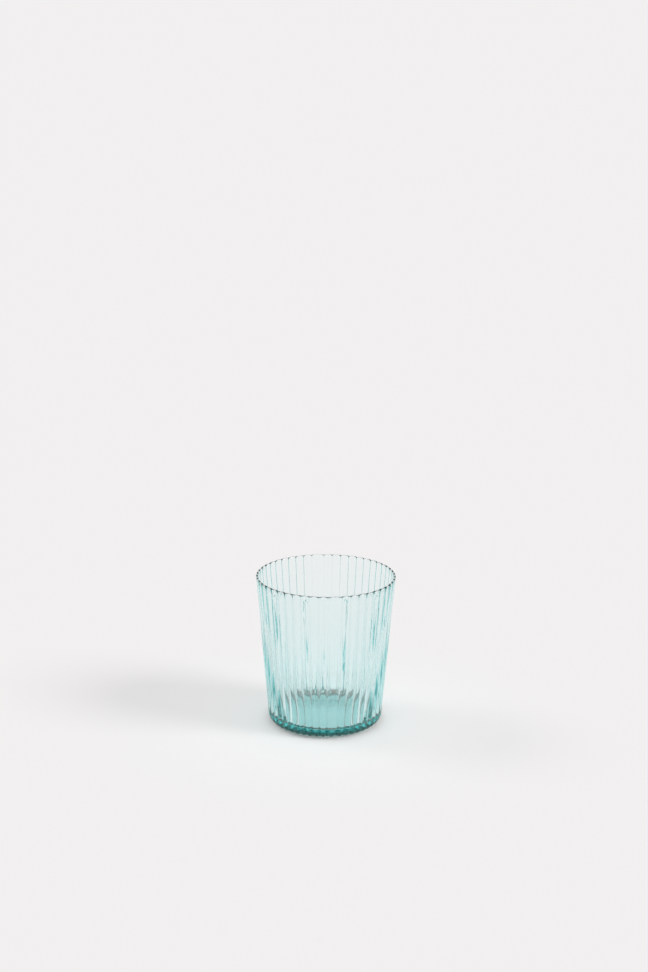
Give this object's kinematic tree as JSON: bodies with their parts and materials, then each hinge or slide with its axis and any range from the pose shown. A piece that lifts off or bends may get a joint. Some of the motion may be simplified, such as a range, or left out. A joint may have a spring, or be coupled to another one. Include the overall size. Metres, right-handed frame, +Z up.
{
  "type": "tea glass",
  "caption": "Tapered aqua-tinted tea glass with fine upright ribs round the outside, a rounded beaded lip, a smooth inside and a rounded heel; it has no handle.",
  "frame": {"origin": "centre of the foot, on the surface that the glass stands on", "axes": "+Z up along the glass's axis, from the foot to the mouth; X and Y level, with the front seen from -Y and one mould seam 7.3 degrees right of it"},
  "size_m": [0.083, 0.083, 0.091],
  "materials": {
    "aqua_glass": "clear pressed glass, tinted aqua through its thickness, fire-polished"
  },
  "bodies": {
    "root": {"lip": "aqua_glass", "ribbed_wall": "aqua_glass", "base": "aqua_glass"}
  },
  "joints": []
}
